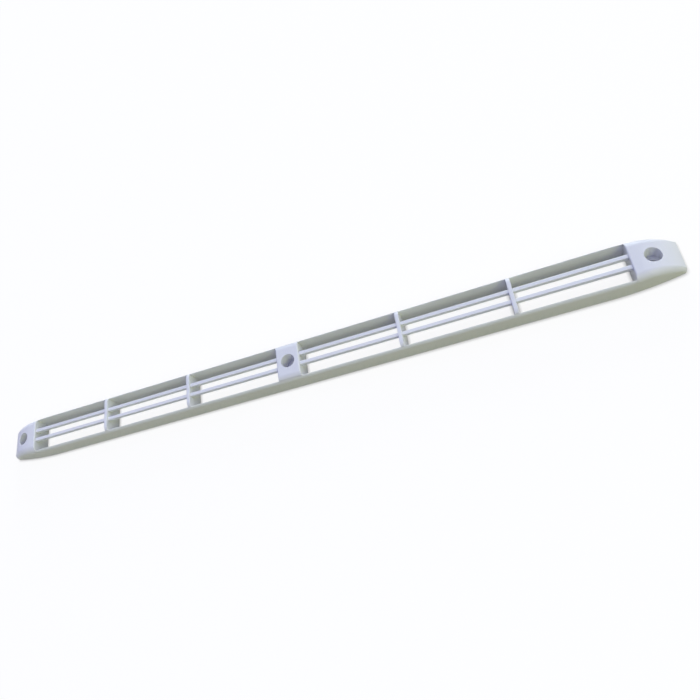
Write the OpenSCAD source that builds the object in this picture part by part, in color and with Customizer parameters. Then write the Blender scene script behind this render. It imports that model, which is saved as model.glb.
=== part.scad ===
// Flat ventilation grille for a window or facade air slot, moulded in white plastic.
// X runs along the grille, Y across it and Z out of the wall.
// The origin is at the middle of the flat back, which lies on Z = 0.

/* [Overall size] */
// Length from tip to tip
grille_l = 400; // [390:1:440]
// Width across the back
grille_w = 23; // [22:0.5:26]
// Depth from the back to the front plane
grille_d = 12.5; // [12:0.5:14]
// Radius of the long shoulders between the front plane and the sides
shoulder_r = 4; // [3:0.25:4.5]

/* [End blocks] */
// Length of each end block, from the air opening to the tip
end_block_l = 22.6; // [22:0.2:27]
// Height left at the tip, where the front has come down
tip_h = 3.5; // [2.5:0.25:4]
// Width across the tip before its corners are rounded
tip_w = 16.5; // [15:0.5:18]
// Radius of the two corners of the tip
tip_corner_r = 1; // [1:0.1:2]
// Distance from the tip back to where the sides begin to come in
side_curve_l = 34; // [30:1:50]
// Distance from the tip back to where the front begins to fall
front_curve_l = 19; // [17:0.5:21]
// How far the shoulders run out over the corners of the tip, where they fade
rim_lift = 1; // [0.5:0.1:1.5]

/* [Walls] */
// Thickness of the two side rails
rail_t = 1.1; // [1:0.1:1.8]
// Thickness of the skin of the blocks, which are hollow behind
skin_t = 1.6; // [1.4:0.1:1.8]
// Length of the centre block
centre_block_l = 13.5; // [12.5:0.5:18]
// Radius of the front edges of the blocks at the air openings
edge_r = 0.8; // [0.4:0.1:0.8]

/* [Ribs and bars] */
// Thickness of the cross ribs at the front
rib_t = 2.1; // [1.4:0.1:2.4]
// Thickness of the cross ribs at the back
rib_back_t = 2.6; // [2.4:0.1:3.2]
// How much shorter the outer cell of each half is than the other two
outer_cell_trim = 2.4; // [0:0.2:4]
// Distance between the middles of the two bars
bar_pitch = 6; // [5:0.5:8]
// Height of a bar, seen from the front
bar_h = 1.9; // [1.4:0.1:2.6]
// Depth of a bar, from its front to its back
bar_depth = 2.4; // [1.6:0.1:3.2]
// How far the bars stand back from the front plane
bar_set_back = 1; // [0.6:0.1:1.5]
// Length of each bar end that is let into a block
bar_socket = 1.2; // [1:0.1:1.4]

/* [Screw holes] */
// Diameter of the three holes for the screw shanks
screw_hole_d = 4; // [3:0.1:5]
// Diameter of the counterbore that takes the screw head
counterbore_d = 8; // [7:0.1:8.4]
// Thickness left under the screw head
screw_seat_t = 3; // [2:0.25:4]
// Distance from the tip to the middle of an end hole
end_hole_inset = 12.5; // [12:0.25:13]

/* [Hidden] */
$fa = 1;
$fs = 0.2;

// How far a cutter runs past the face that it cuts
cut = 1;
// How far each small rounding circle stands past the flats that it joins
round_over = 0.01;

half_l = grille_l / 2;
half_w = grille_w / 2;
// Half the clear width between the rails
opening_half_w = half_w - rail_t;
// Where the air openings start at the centre block and end at the end blocks
opening_start_x = centre_block_l / 2;
opening_end_x = half_l - end_block_l;

// Radius of an arc that falls by a drop over a run that starts at its top
function arc_radius(run, drop) = (run * run + drop * drop) / (2 * drop);

// Arc that brings the front down to the tip
front_arc_r = arc_radius(front_curve_l, grille_d - tip_h);
front_arc_x = half_l - front_curve_l;
front_arc_z = grille_d - front_arc_r;

// Arc that brings each side in to the tip
side_arc_r = arc_radius(side_curve_l, half_w - tip_w / 2);
side_arc_x = half_l - side_curve_l;
side_arc_y = half_w - side_arc_r;

// Ring along which a shoulder follows both the slanting side and the falling front
rim_touch_x = front_arc_x + front_curve_l / 2;
rim_slant = asin((rim_touch_x - side_arc_x) / side_arc_r);
rim_touch_y = side_arc_y + side_arc_r * cos(rim_slant);
rim_ring_x = front_arc_x + shoulder_r * sin(rim_slant);
rim_ring_y = rim_touch_y + (rim_touch_x - rim_ring_x) * tan(rim_slant);
rim_ring_r = arc_radius(front_curve_l / cos(rim_slant), grille_d - tip_h - rim_lift);

// Middle of a tip corner, which touches the side arc from inside, and where it touches
corner_x = half_l - tip_corner_r;
corner_reach = side_arc_r - tip_corner_r;
corner_y = side_arc_y + sqrt(pow(corner_reach, 2) - pow(corner_x - side_arc_x, 2));
corner_start_x = side_arc_x + (corner_x - side_arc_x) * side_arc_r / corner_reach;

// Three cells each side of the centre block, parted by two ribs
cell_l = (opening_end_x - opening_start_x - 2 * rib_t + outer_cell_trim) / 3;
inner_rib_x = opening_start_x + cell_l + rib_t / 2;
outer_rib_x = inner_rib_x + cell_l + rib_t;

bar_back_z = grille_d - bar_set_back - bar_depth;
end_hole_x = half_l - end_hole_inset;
// Wall of a block at the air opening, thick enough for the bar ends
inner_wall_t = bar_socket + skin_t;

plastic = [0.93, 0.94, 0.97];

// Waste that rounds a corner at the origin, with the shape to the left of and below it
module rounding_waste_2d(r) {
    difference() {
        translate([-r, -r])
            square(r + cut);
        translate([-r, -r])
            circle(r = r + round_over);
    }
}

// Rectangle at the origin with its far corner rounded
module shouldered_2d(reach, height, r) {
    difference() {
        square([reach, height]);
        translate([reach, height])
            rounding_waste_2d(r);
    }
}

// The cross-section drawn out along the grille between two places
module section_between(x_from, x_to) {
    translate([x_from, 0, 0])
        rotate([90, 0, 90])
            linear_extrude(x_to - x_from)
                for (side = [0, 1])
                    mirror([side, 0])
                        shouldered_2d(half_w, grille_d, shoulder_r);
}

// A shape drawn in X and Z, drawn out across the whole width of the grille
module across_width() {
    translate([0, half_w + cut, 0])
        rotate([90, 0, 0])
            linear_extrude(grille_w + 2 * cut)
                children();
}

// The cross-section swung round the middle of the upper side arc, or a smaller one inside it
module side_swing(inset) {
    translate([side_arc_x, side_arc_y, -cut])
        rotate_extrude($fn = 256)
            shouldered_2d(side_arc_r - inset, grille_d + cut - inset, shoulder_r - inset);
}

// The cross-section swung down along the front arc, or a smaller one inside it
module front_swing(inset) {
    translate([front_arc_x, 0, front_arc_z])
        rotate([90, 0, 0])
            rotate_extrude($fn = 256)
                for (side = [0, 1])
                    mirror([0, side])
                        shouldered_2d(front_arc_r - inset, half_w - inset, shoulder_r - inset);
}

// Waste outside the shoulder that slants in along the upper side while it falls with the front
module rim_waste(inset) {
    translate([rim_ring_x, rim_ring_y, grille_d - rim_ring_r])
        rotate([-90, 0, -rim_slant])
            rotate_extrude($fn = 256)
                translate([rim_ring_r - inset, -inset])
                    rounding_waste_2d(shoulder_r - inset);
}

// Falling part of an end, or a smaller one inside it
module falling_end(inset) {
    difference() {
        intersection() {
            translate([front_arc_x, -half_w, -cut])
                cube([front_curve_l, grille_w, grille_d + cut]);
            front_swing(inset);
        }
        rim_waste(inset);
        mirror([0, 1, 0])
            rim_waste(inset);
    }
}

// Boat-shaped end from a place to the tip, or a smaller one inside it
module boat_end(x_from, z_from, inset) {
    intersection() {
        translate([x_from, -half_w, z_from])
            cube([half_l - inset - x_from, grille_w, grille_d - z_from]);
        side_swing(inset);
        mirror([0, 1, 0])
            side_swing(inset);
        union() {
            translate([opening_end_x, -half_w, -cut])
                cube([front_arc_x - opening_end_x, grille_w, grille_d - inset + cut]);
            falling_end(inset);
        }
    }
}

// Waste outside the two rounded corners of the tip
module tip_corner_waste() {
    for (side = [0, 1])
        mirror([0, side, 0])
            translate([0, 0, -cut])
                linear_extrude(grille_d + 2 * cut)
                    difference() {
                        translate([corner_start_x, corner_y])
                            square(half_w);
                        translate([corner_x, corner_y])
                            circle(r = tip_corner_r + round_over);
                    }
}

// Screw hole with its counterbore, open at the back and the front
module screw_hole(x) {
    translate([x, 0, -cut])
        cylinder(d = screw_hole_d, h = grille_d);
    translate([x, 0, screw_seat_t])
        cylinder(d = counterbore_d, h = grille_d);
}

// Boss that is left standing round a screw hole in the hollow of a block
module screw_boss(x) {
    translate([x, 0, -2 * cut])
        cylinder(d = counterbore_d + 2 * skin_t, h = grille_d + 2 * cut);
}

// Both bars of one half, or the room for them, from one place to another
module bar_pair(x_from, x_to) {
    for (side = [-1, 1])
        translate([x_from, side * bar_pitch / 2 - bar_h / 2, bar_back_z])
            cube([x_to - x_from, bar_h, bar_depth]);
}

module end_block() {
    color(plastic)
        difference() {
            boat_end(opening_end_x, 0, 0);
            tip_corner_waste();
            across_width()
                translate([opening_end_x, grille_d])
                    mirror([1, 0])
                        rounding_waste_2d(edge_r);
            difference() {
                boat_end(opening_end_x + inner_wall_t, -cut, skin_t);
                screw_boss(end_hole_x);
            }
            screw_hole(end_hole_x);
            bar_pair(opening_end_x - cut, opening_end_x + bar_socket);
        }
}

// Part of the grille that lies between the rails, from one place to another
module between_rails(x_from, x_to) {
    intersection() {
        section_between(x_from, x_to);
        translate([x_from - cut, -opening_half_w, -cut])
            cube([x_to - x_from + 2 * cut, 2 * opening_half_w, grille_d + 2 * cut]);
    }
}

module centre_block() {
    color(plastic)
        difference() {
            between_rails(-opening_start_x, opening_start_x);
            for (end = [0, 1])
                mirror([end, 0, 0]) {
                    across_width()
                        translate([opening_start_x, grille_d])
                            rounding_waste_2d(edge_r);
                    bar_pair(opening_start_x - bar_socket, opening_start_x + cut);
                }
            difference() {
                translate([inner_wall_t - opening_start_x, 1 - opening_half_w, -cut])
                    cube([centre_block_l - 2 * inner_wall_t, 2 * opening_half_w - 2, grille_d - skin_t + cut]);
                screw_boss(0);
            }
            screw_hole(0);
        }
}

// Thin side wall that runs the whole way between the end blocks and follows the side arcs
module side_rail() {
    color(plastic) {
        intersection() {
            section_between(-side_arc_x, side_arc_x);
            translate([-half_l, opening_half_w, -cut])
                cube([grille_l, half_w, grille_d + 2 * cut]);
        }
        for (end = [0, 1])
            mirror([end, 0, 0])
                intersection() {
                    translate([side_arc_x, opening_half_w, 0])
                        cube([opening_end_x - side_arc_x, half_w, grille_d + cut]);
                    side_swing(0);
                }
    }
}

// Cross rib between the rails, thicker at the back, with windows for the bars
module rib(x) {
    color(plastic)
        difference() {
            intersection() {
                between_rails(x - rib_back_t, x + rib_back_t);
                across_width()
                    translate([x, 0])
                        polygon([[-rib_back_t / 2, 0], [rib_back_t / 2, 0],
                                 [rib_t / 2, grille_d], [-rib_t / 2, grille_d]]);
            }
            bar_pair(x - rib_back_t, x + rib_back_t);
        }
}

// Bar of the right-hand half, with both ends let into the blocks
module grille_bar(side) {
    color(plastic)
        translate([opening_start_x - bar_socket, side * bar_pitch / 2 - bar_h / 2, bar_back_z])
            cube([opening_end_x - opening_start_x + 2 * bar_socket, bar_h, bar_depth]);
}

mirror([1, 0, 0]) end_block();  // left_end_block
end_block();  // right_end_block
centre_block();
side_rail();  // upper_side_rail
mirror([0, 1, 0]) side_rail();  // lower_side_rail
rib(-outer_rib_x);  // outer_left_rib
rib(-inner_rib_x);  // inner_left_rib
rib(inner_rib_x);  // inner_right_rib
rib(outer_rib_x);  // outer_right_rib
mirror([1, 0, 0]) grille_bar(1);  // upper_left_bar
mirror([1, 0, 0]) grille_bar(-1);  // lower_left_bar
grille_bar(1);  // upper_right_bar
grille_bar(-1);  // lower_right_bar
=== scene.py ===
"""A flat white plastic ventilation grille, lying on its back on a pale floor."""

import math

import bpy
from mathutils import Matrix, Vector
from mathutils.bvhtree import BVHTree

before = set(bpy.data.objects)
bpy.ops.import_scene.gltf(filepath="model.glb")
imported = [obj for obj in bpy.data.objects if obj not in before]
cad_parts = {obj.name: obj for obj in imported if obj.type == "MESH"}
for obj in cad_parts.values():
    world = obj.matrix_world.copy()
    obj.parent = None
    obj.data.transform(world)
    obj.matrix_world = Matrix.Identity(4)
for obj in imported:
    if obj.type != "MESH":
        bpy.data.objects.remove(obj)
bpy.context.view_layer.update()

MM = 0.001

# Moulded plastic
PLASTIC_COLOUR = (0.77, 0.78, 0.81)
PLASTIC_TONE_DRIFT = 0.03
PLASTIC_ROUGHNESS = 0.42
PLASTIC_ROUGHNESS_DRIFT = 0.06
PLASTIC_IOR = 1.49
PLASTIC_GLOSS_LEVEL = 0.4
# Light goes PLASTIC_DEPTH into the plastic, equally far in red, green and blue
PLASTIC_TRANSLUCENCY = 1.0
PLASTIC_DEPTH = 0.6 * MM
PLASTIC_DEPTH_SHARES = (1.0, 1.0, 1.0)

# Skin of the moulding: noise scales per metre, and the fine texture's height
DRIFT_SCALE = 22.0
DRIFT_DETAIL = 3.0
SPARK_SCALE = 1900.0
SPARK_DETAIL = 2.0
SPARK_STRENGTH = 0.12
SPARK_HEIGHT = 0.02 * MM
NOISE_LOW = 0.3
NOISE_HIGH = 0.7

# Soft edges of the bars and ribs, and how near counts as touching
EDGE_ROUND = 0.3 * MM
EDGE_STEPS = 3
SHARP_ANGLE = math.radians(40)
SEAT_REACH = 0.02 * MM
JOIN_REACH = 0.002 * MM

# Photograph's frame and the lens worked out for it
PICTURE_PIXELS = 700
SENSOR_MM = 36.0
LENS_PIXELS = 671.82
SHIFT_PIXELS = (-60.85, 8.10)
CAMERA_PLACE_MM = (118.99, -169.12, 322.08)
CAMERA_RIGHT = (0.910032, -0.101153, -0.402007)
CAMERA_UP = (0.267901, 0.883557, 0.384131)
CAMERA_NEAR_LIMIT = 0.01

# Studio: what the camera and reflections see is white. The light on the grille is tinted, so that
# its tones come near the photograph's. Sizes and distances here are in metres.
FLOOR_SIZE = 6.0
FLOOR_GLOW = 0.89
FLOOR_SEEN = (0.12, 0.12, 0.12)
FLOOR_BOUNCE = (0.26, 0.26, 0.07)
# How far round the grille's foot the floor's glow is darkened with painted shadow
FOOT_PAINTED_SHADOW = 2.0 * MM
OVERHEAD_LIGHT = (0.64, 0.66, 1.0)
OVERHEAD_STRENGTH = 1.2
LAMP_DISTANCE = 3.0
LAMP_SIZE = 1.2
# Each lamp: name, direction from the grille, watts, colour
LAMPS = (
    ("far_window", (0.1, 1.0, 0.2), 52.0, (0.90, 1.0, 0.95)),
    ("right_window", (1.0, 0.1, 0.3), 18.0, (0.72, 0.78, 0.85)),
    ("near_window", (0.7, -0.7, 0.8), 23.0, (0.94, 1.0, 0.22)),
)


def node_group(name, inputs, outputs):
    """Empty shader group with named inputs (name, kind, value) and outputs (name, kind)."""
    group = bpy.data.node_groups.new(name, "ShaderNodeTree")
    for socket_name, kind, value in inputs:
        socket = group.interface.new_socket(socket_name, in_out="INPUT", socket_type=kind)
        socket.default_value = value
    for socket_name, kind in outputs:
        group.interface.new_socket(socket_name, in_out="OUTPUT", socket_type=kind)
    return group, group.nodes.new("NodeGroupInput"), group.nodes.new("NodeGroupOutput")


def noise(tree, vector, scale, detail):
    """Noise over the object's own coordinates."""
    node = tree.nodes.new("ShaderNodeTexNoise")
    node.inputs["Scale"].default_value = scale
    node.inputs["Detail"].default_value = detail
    tree.links.new(vector, node.inputs["Vector"])
    return node.outputs["Fac"]


def map_range(tree, value, low, high):
    """Stretches a noise value, from its usual lowest to its usual highest, over low to high."""
    node = tree.nodes.new("ShaderNodeMapRange")
    node.inputs["From Min"].default_value = NOISE_LOW
    node.inputs["From Max"].default_value = NOISE_HIGH
    tree.links.new(value, node.inputs["Value"])
    for socket, end in (("To Min", low), ("To Max", high)):
        if isinstance(end, (int, float)):
            node.inputs[socket].default_value = end
        else:
            tree.links.new(end, node.inputs[socket])
    return node.outputs["Result"]


def moulded_skin_group():
    """Slow drift of tone and gloss over a moulding, and the fine spark texture of its mould."""
    group, source, result = node_group(
        "moulded_skin",
        [
            ("Color", "NodeSocketColor", (0.8, 0.8, 0.8, 1.0)),
            ("Tone Drift", "NodeSocketFloat", 0.03),
            ("Roughness", "NodeSocketFloat", 0.4),
            ("Roughness Drift", "NodeSocketFloat", 0.05),
        ],
        [
            ("Color", "NodeSocketColor"),
            ("Roughness", "NodeSocketFloat"),
            ("Height", "NodeSocketFloat"),
        ],
    )
    links = group.links
    place = group.nodes.new("ShaderNodeTexCoord").outputs["Object"]
    drift = noise(group, place, DRIFT_SCALE, DRIFT_DETAIL)
    spark = noise(group, place, SPARK_SCALE, SPARK_DETAIL)

    darker = group.nodes.new("ShaderNodeMath")
    darker.operation = "SUBTRACT"
    darker.inputs[0].default_value = 1.0
    links.new(source.outputs["Tone Drift"], darker.inputs[1])
    tone = map_range(group, drift, darker.outputs[0], 1.0)
    tint = group.nodes.new("ShaderNodeVectorMath")
    tint.operation = "SCALE"
    links.new(source.outputs["Color"], tint.inputs[0])
    links.new(tone, tint.inputs["Scale"])
    links.new(tint.outputs["Vector"], result.inputs["Color"])

    rougher = group.nodes.new("ShaderNodeMath")
    rougher.operation = "ADD"
    links.new(source.outputs["Roughness"], rougher.inputs[0])
    links.new(source.outputs["Roughness Drift"], rougher.inputs[1])
    gloss = map_range(group, spark, source.outputs["Roughness"], rougher.outputs[0])
    links.new(gloss, result.inputs["Roughness"])
    links.new(spark, result.inputs["Height"])
    return group


def white_plastic(skin):
    """Satin white plastic as it comes from the mould."""
    material = bpy.data.materials.new("white_plastic")
    material.use_nodes = True
    tree = material.node_tree
    shader = tree.nodes["Principled BSDF"]
    shader.inputs["IOR"].default_value = PLASTIC_IOR
    shader.inputs["Specular IOR Level"].default_value = PLASTIC_GLOSS_LEVEL
    shader.inputs["Subsurface Weight"].default_value = PLASTIC_TRANSLUCENCY
    shader.inputs["Subsurface Radius"].default_value = PLASTIC_DEPTH_SHARES
    shader.inputs["Subsurface Scale"].default_value = PLASTIC_DEPTH
    surface = tree.nodes.new("ShaderNodeGroup")
    surface.node_tree = skin
    surface.inputs["Color"].default_value = (*PLASTIC_COLOUR, 1.0)
    surface.inputs["Tone Drift"].default_value = PLASTIC_TONE_DRIFT
    surface.inputs["Roughness"].default_value = PLASTIC_ROUGHNESS
    surface.inputs["Roughness Drift"].default_value = PLASTIC_ROUGHNESS_DRIFT
    bump = tree.nodes.new("ShaderNodeBump")
    bump.inputs["Strength"].default_value = SPARK_STRENGTH
    bump.inputs["Distance"].default_value = SPARK_HEIGHT
    tree.links.new(surface.outputs["Height"], bump.inputs["Height"])
    tree.links.new(surface.outputs["Color"], shader.inputs["Base Color"])
    tree.links.new(surface.outputs["Roughness"], shader.inputs["Roughness"])
    tree.links.new(bump.outputs["Normal"], shader.inputs["Normal"])
    return material


def surface_of(piece):
    """Search tree over a member's faces, in the scene's own place."""
    points = [piece.matrix_world @ vertex.co for vertex in piece.data.vertices]
    return BVHTree.FromPolygons(points, [tuple(face.vertices) for face in piece.data.polygons])


def sharp_edges(piece):
    """Groups of loose edge copies that lie together where two faces of a member meet sharply."""
    mesh = piece.data
    facing = {}
    for face in mesh.polygons:
        for key in face.edge_keys:
            facing.setdefault(key, []).append(face.normal)
    together = {}
    for edge in mesh.edges:
        ends = [tuple(round(c / JOIN_REACH) for c in mesh.vertices[i].co) for i in edge.vertices]
        together.setdefault(tuple(sorted(ends)), []).append(edge)
    for edges in together.values():
        normals = [n for edge in edges for n in facing.get(edge.key, ())]
        if len(normals) == 2 and normals[0].angle(normals[1], 0.0) > SHARP_ANGLE:
            yield edges


def soften_edges(piece, neighbours):
    """Small radius on a slender member's sharp edges, but not where it meets a neighbour."""
    mesh = piece.data
    weights = mesh.attributes.new("bevel_weight_edge", "FLOAT", "EDGE")
    free = []
    for edges in sharp_edges(piece):
        for edge in edges:
            edge.use_edge_sharp = True
        ends = [mesh.vertices[i].co for i in edges[0].vertices]
        middle = piece.matrix_world @ (sum(ends, Vector()) / 2)
        if all(tree.find_nearest(middle, SEAT_REACH)[0] is None for tree in neighbours):
            free.extend(edge.index for edge in edges)
    for index in free:
        weights.data[index].value = 1.0
    joined = piece.modifiers.new("joined_faces", "WELD")
    joined.merge_threshold = JOIN_REACH
    bevel = piece.modifiers.new("moulded_edges", "BEVEL")
    bevel.width = EDGE_ROUND
    bevel.segments = EDGE_STEPS
    bevel.limit_method = "WEIGHT"
    bevel.use_clamp_overlap = True
    bevel.harden_normals = True


def dress_grille(plastic):
    """Gives every member its plastic, and the bars and ribs their soft edges."""
    surfaces = {name: surface_of(piece) for name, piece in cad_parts.items()}
    for name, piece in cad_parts.items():
        for slot in piece.material_slots:
            slot.material = plastic
        if name.endswith(("_bar", "_rib")):
            others = [surface for other, surface in surfaces.items() if other != name]
            soften_edges(piece, others)


def seen_directly(tree):
    """1 for what the camera, a reflection or clear glass sees, 0 for light on a surface."""
    path = tree.nodes.new("ShaderNodeLightPath")
    seen = path.outputs["Is Camera Ray"]
    for ray in ("Is Glossy Ray", "Is Transmission Ray"):
        either = tree.nodes.new("ShaderNodeMath")
        either.operation = "MAXIMUM"
        tree.links.new(seen, either.inputs[0])
        tree.links.new(path.outputs[ray], either.inputs[1])
        seen = either.outputs[0]
    return seen


def studio_floor():
    """Pale floor that looks white, takes the grille's cast shadow plus painted shadow round its
    foot, and throws little light back up.
    """
    bpy.ops.mesh.primitive_plane_add(size=FLOOR_SIZE, location=(0.0, 0.0, 0.0))
    floor = bpy.context.object
    floor.name = "floor"
    material = bpy.data.materials.new("floor_paper")
    material.use_nodes = True
    tree = material.node_tree
    shader = tree.nodes["Principled BSDF"]
    shader.inputs["Roughness"].default_value = 1.0
    shader.inputs["Specular IOR Level"].default_value = 0.0
    shader.inputs["Emission Color"].default_value = (1.0, 1.0, 1.0, 1.0)
    seen = seen_directly(tree)
    colour = tree.nodes.new("ShaderNodeMix")
    colour.data_type = "RGBA"
    colour.inputs["A"].default_value = (*FLOOR_BOUNCE, 1.0)
    colour.inputs["B"].default_value = (*FLOOR_SEEN, 1.0)
    tree.links.new(seen, colour.inputs["Factor"])
    tree.links.new(colour.outputs["Result"], shader.inputs["Base Color"])
    # Painted shadow: the floor's glow is darkened near the grille, round its foot and under its
    # holes
    painted_foot_shadow = tree.nodes.new("ShaderNodeAmbientOcclusion")
    painted_foot_shadow.inputs["Distance"].default_value = FOOT_PAINTED_SHADOW
    seen_with_painted_shadow = tree.nodes.new("ShaderNodeMath")
    seen_with_painted_shadow.operation = "MULTIPLY"
    tree.links.new(seen, seen_with_painted_shadow.inputs[0])
    tree.links.new(painted_foot_shadow.outputs["AO"], seen_with_painted_shadow.inputs[1])
    glow = tree.nodes.new("ShaderNodeMath")
    glow.operation = "MULTIPLY"
    glow.inputs[1].default_value = FLOOR_GLOW
    tree.links.new(seen_with_painted_shadow.outputs[0], glow.inputs[0])
    tree.links.new(glow.outputs[0], shader.inputs["Emission Strength"])
    floor.data.materials.append(material)


def studio_sky():
    """Soft light from overhead that fades towards the horizon, under a sky that looks white."""
    world = bpy.data.worlds.new("studio_sky")
    world.use_nodes = True
    tree = world.node_tree
    light = tree.nodes["Background"]
    place = tree.nodes.new("ShaderNodeTexCoord").outputs["Generated"]
    parts = tree.nodes.new("ShaderNodeSeparateXYZ")
    tree.links.new(place, parts.inputs[0])
    sky = tree.nodes.new("ShaderNodeMix")
    sky.data_type = "RGBA"
    sky.inputs["A"].default_value = (0.0, 0.0, 0.0, 1.0)
    sky.inputs["B"].default_value = (*OVERHEAD_LIGHT, 1.0)
    tree.links.new(parts.outputs["Z"], sky.inputs["Factor"])
    tree.links.new(sky.outputs["Result"], light.inputs["Color"])
    light.inputs["Strength"].default_value = OVERHEAD_STRENGTH
    white = tree.nodes.new("ShaderNodeBackground")
    both = tree.nodes.new("ShaderNodeMixShader")
    white.inputs["Color"].default_value = (1.0, 1.0, 1.0, 1.0)
    tree.links.new(seen_directly(tree), both.inputs["Fac"])
    tree.links.new(light.outputs[0], both.inputs[1])
    tree.links.new(white.outputs[0], both.inputs[2])
    tree.links.new(both.outputs[0], tree.nodes["World Output"].inputs["Surface"])
    bpy.context.scene.world = world


def window_lamps():
    """Three soft lamps low round the grille."""
    for name, direction, watts, colour in LAMPS:
        lamp = bpy.data.lights.new(name, "AREA")
        lamp.size = LAMP_SIZE
        lamp.energy = watts
        lamp.color = colour
        window = bpy.data.objects.new(name, lamp)
        place = Vector(direction).normalized() * LAMP_DISTANCE
        window.location = place
        window.rotation_euler = (-place).to_track_quat("-Z", "Y").to_euler()
        bpy.context.collection.objects.link(window)


def photograph_camera():
    """Camera at the photograph's viewing angle."""
    data = bpy.data.cameras.new("camera")
    data.sensor_width = SENSOR_MM
    data.lens = SENSOR_MM * LENS_PIXELS / PICTURE_PIXELS
    data.shift_x = -SHIFT_PIXELS[0] / PICTURE_PIXELS
    data.shift_y = SHIFT_PIXELS[1] / PICTURE_PIXELS
    data.clip_start = CAMERA_NEAR_LIMIT
    camera = bpy.data.objects.new("camera", data)
    right = Vector(CAMERA_RIGHT).normalized()
    up = Vector(CAMERA_UP)
    back = right.cross(up).normalized()
    up = back.cross(right)
    turn = Matrix((right, up, back)).transposed().to_4x4()
    camera.matrix_world = Matrix.Translation(Vector(CAMERA_PLACE_MM) * MM) @ turn
    bpy.context.collection.objects.link(camera)
    bpy.context.scene.camera = camera


dress_grille(white_plastic(moulded_skin_group()))
studio_floor()
studio_sky()
window_lamps()
photograph_camera()
bpy.context.scene.view_settings.view_transform = "Standard"
